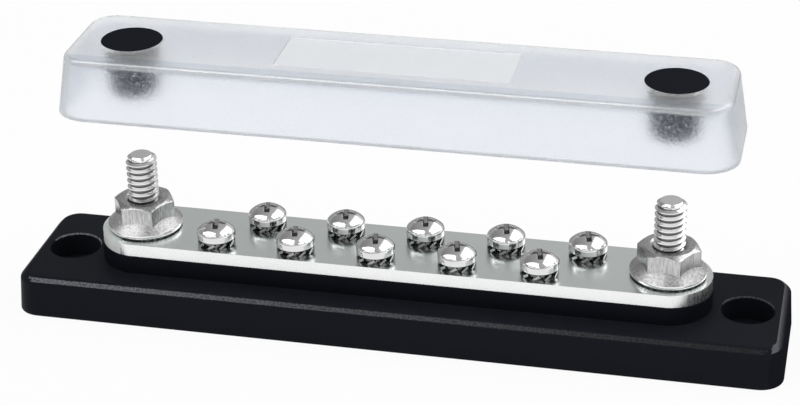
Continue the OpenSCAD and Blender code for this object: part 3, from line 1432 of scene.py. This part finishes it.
@dataclass
class Camera:
    """The photograph's camera, fitted to it in the frame's own axes."""

    focal_px: float = 2214.07
    azimuth_deg: float = 13.116
    elevation_deg: float = 27.362
    roll_deg: float = -1.002
    aim_right: float = 0.398 * MM
    aim_up: float = -22.639 * MM
    distance: float = 455.719 * MM
    sensor_mm: float = 36.0
    clip: tuple[float, float] = (0.01, 50.0)

    def build(self) -> None:
        """Makes the camera and puts it in the scene."""
        angles = (self.azimuth_deg, self.elevation_deg, self.roll_deg)
        azimuth, elevation, roll = (math.radians(angle) for angle in angles)
        level = Vector((math.cos(azimuth), math.sin(azimuth), 0.0))
        flat = math.cos(elevation)
        back = Vector((math.sin(azimuth) * flat, -math.cos(azimuth) * flat, math.sin(elevation)))
        upright = back.cross(level)
        right = math.cos(roll) * level + math.sin(roll) * upright
        up = -math.sin(roll) * level + math.cos(roll) * upright
        data = bpy.data.cameras.new("photo_camera")
        data.sensor_width = self.sensor_mm
        data.lens = self.focal_px * self.sensor_mm / PHOTO_WIDTH_PX
        data.clip_start, data.clip_end = self.clip
        made = bpy.data.objects.new("photo_camera", data)
        place = Matrix((right, up, back)).transposed().to_4x4()
        place.translation = back * self.distance - right * self.aim_right - up * self.aim_up
        made.matrix_world = place
        bpy.context.scene.collection.objects.link(made)
        bpy.context.scene.camera = made
        LOG.info("camera: %.1f mm lens", data.lens)


@dataclass(frozen=True)
class Softbox:
    """One area lamp that looks at the middle of the object."""

    name: str
    place: Triple
    along: Triple
    size: tuple[float, float]
    watts: float

    def build(self, target: Vector) -> None:
        """Makes the lamp.

        Args:
            target: the point that it faces.
        """
        data = bpy.data.lights.new(self.name, "AREA")
        data.shape = "RECTANGLE"
        data.size, data.size_y = self.size
        data.energy = self.watts
        made = bpy.data.objects.new(self.name, data)
        back = (Vector(self.place) - target).normalized()
        long_side = Vector(self.along)
        long_side = (long_side - long_side.dot(back) * back).normalized()
        turn = Matrix((long_side, back.cross(long_side), back)).transposed().to_4x4()
        made.matrix_world = Matrix.Translation(self.place) @ turn
        bpy.context.scene.collection.objects.link(made)


KEY_SOFTBOX = Softbox(
    "key_softbox",
    place=(-0.48, -0.3, 0.82),
    along=(0.76, -0.32, 0.41),
    size=(1.05, 0.42),
    watts=3.2,
)
RIGHT_SOFTBOX = Softbox(
    "right_softbox",
    place=(0.52, 0.33, 0.76),
    along=(-0.14, 1.0, -0.55),
    size=(1.2, 0.5),
    watts=3.3,
)


@dataclass
class Studio:
    """A pale floor, a white surround and soft lamps; reflections see floor and surround dimmer behind."""

    floor_half: float = 3.0
    floor_drop: float = 0.2 * MM
    floor_colour: Colour = (0.9, 0.9, 0.9)
    floor_white: float = 0.93
    surround_soft: float = 0.5
    surround_low: float = 0.95
    surround_fall: float = 1.0
    surround_high: float = 0.42
    surround_side: float = 0.5
    rear_dim: float = 0.75
    rear_from: float = 0.02
    rear_span: float = 0.12
    rear_height: float = 0.35
    lamps: tuple[Softbox, ...] = (KEY_SOFTBOX, RIGHT_SOFTBOX)

    def paper(self) -> bpy.types.Material:
        """Builds the floor's finish, which camera rays see almost white.

        Returns:
            The material.
        """
        made, graph = new_material("floor_paper")
        seen = graph.light_path("Is Camera Ray", "Is Glossy Ray", "Is Transmission Ray")
        reflected = graph.light_path("Is Glossy Ray") * (1.0 - graph.light_path("Is Transmission Ray"))
        depth = ((graph.axis(graph.places(), "Y") - self.rear_from) / self.rear_span).at_least(0.0)
        rear = 1.0 - (1.0 - depth).at_least(0.0)
        strength = 1.0 - reflected * rear * self.rear_dim
        matt = graph.node("ShaderNodeBsdfDiffuse", {}, {"Color": rgba(self.floor_colour)})
        glow = graph.node("ShaderNodeEmission", {}, {"Color": rgba(WHITE), "Strength": strength})
        mixed = graph.node("ShaderNodeMixShader", {}, {0: seen * self.floor_white, 1: matt, 2: glow})
        graph.node("ShaderNodeOutputMaterial", {}, {"Surface": mixed})
        return made

    def floor(self) -> None:
        """Makes the floor."""
        mesh = bmesh.new()
        bmesh.ops.create_grid(mesh, x_segments=1, y_segments=1, size=self.floor_half)
        data = bpy.data.meshes.new("floor")
        mesh.to_mesh(data)
        mesh.free()
        data.materials.append(self.paper())
        made = bpy.data.objects.new("floor", data)
        made.location.z = -self.floor_drop
        bpy.context.scene.collection.objects.link(made)
        made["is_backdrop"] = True

    def surround(self) -> None:
        """Makes the world: white to the camera, graded to reflections and even to other rays."""
        world = bpy.data.worlds.new("white_surround")
        bpy.context.scene.world = world
        world.use_nodes = True
        graph = Graph(world.node_tree)
        white = graph.light_path("Is Camera Ray", "Is Transmission Ray")
        glossy = graph.light_path("Is Glossy Ray")
        way = graph.node("ShaderNodeTexCoord", {}, {}, "Generated")
        height = graph.axis(way, "Z").at_least(0.0)
        sideways = 1.0 + graph.axis(way, "X") * self.surround_side
        low_rear = graph.axis(way, "Y").at_least(0.0) * (1.0 - height / self.rear_height).at_least(0.0)
        fade = (self.surround_low - height * self.surround_fall).at_least(self.surround_high)
        graded = fade * sideways * (1.0 - low_rear * self.rear_dim)
        unseen = glossy * graded + (1.0 - glossy) * self.surround_soft
        strength = white + (1.0 - white) * unseen
        light = graph.node("ShaderNodeBackground", {}, {"Color": rgba(WHITE), "Strength": strength})
        graph.node("ShaderNodeOutputWorld", {}, {"Surface": light})

    def build(self, target: Vector) -> None:
        """Makes floor, surround and lamps.

        Args:
            target: the middle of the object.
        """
        self.floor()
        self.surround()
        for lamp in self.lamps:
            lamp.build(target)


def clear_scene() -> None:
    """Removes the start-up objects."""
    for item in list(bpy.data.objects):
        bpy.data.objects.remove(item)


def main() -> None:
    """Builds the dressed part and its studio."""
    logging.basicConfig(level=logging.INFO, format="%(name)s %(message)s")
    clear_scene()
    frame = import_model()
    bpy.context.scene.view_settings.view_transform = "Standard"
    Camera().build()
    builders: list[SubAssembly] = [
        BaseMoulding(),
        TerminalBar(),
        ThreadedStuds(),
        FlangeNuts(),
        TerminalScrews(),
        CoverLid(),
    ]
    for builder in builders:
        builder.build(frame)
    low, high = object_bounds()
    Studio().build((low + high) / 2)


if __name__ == "__main__":
    main()
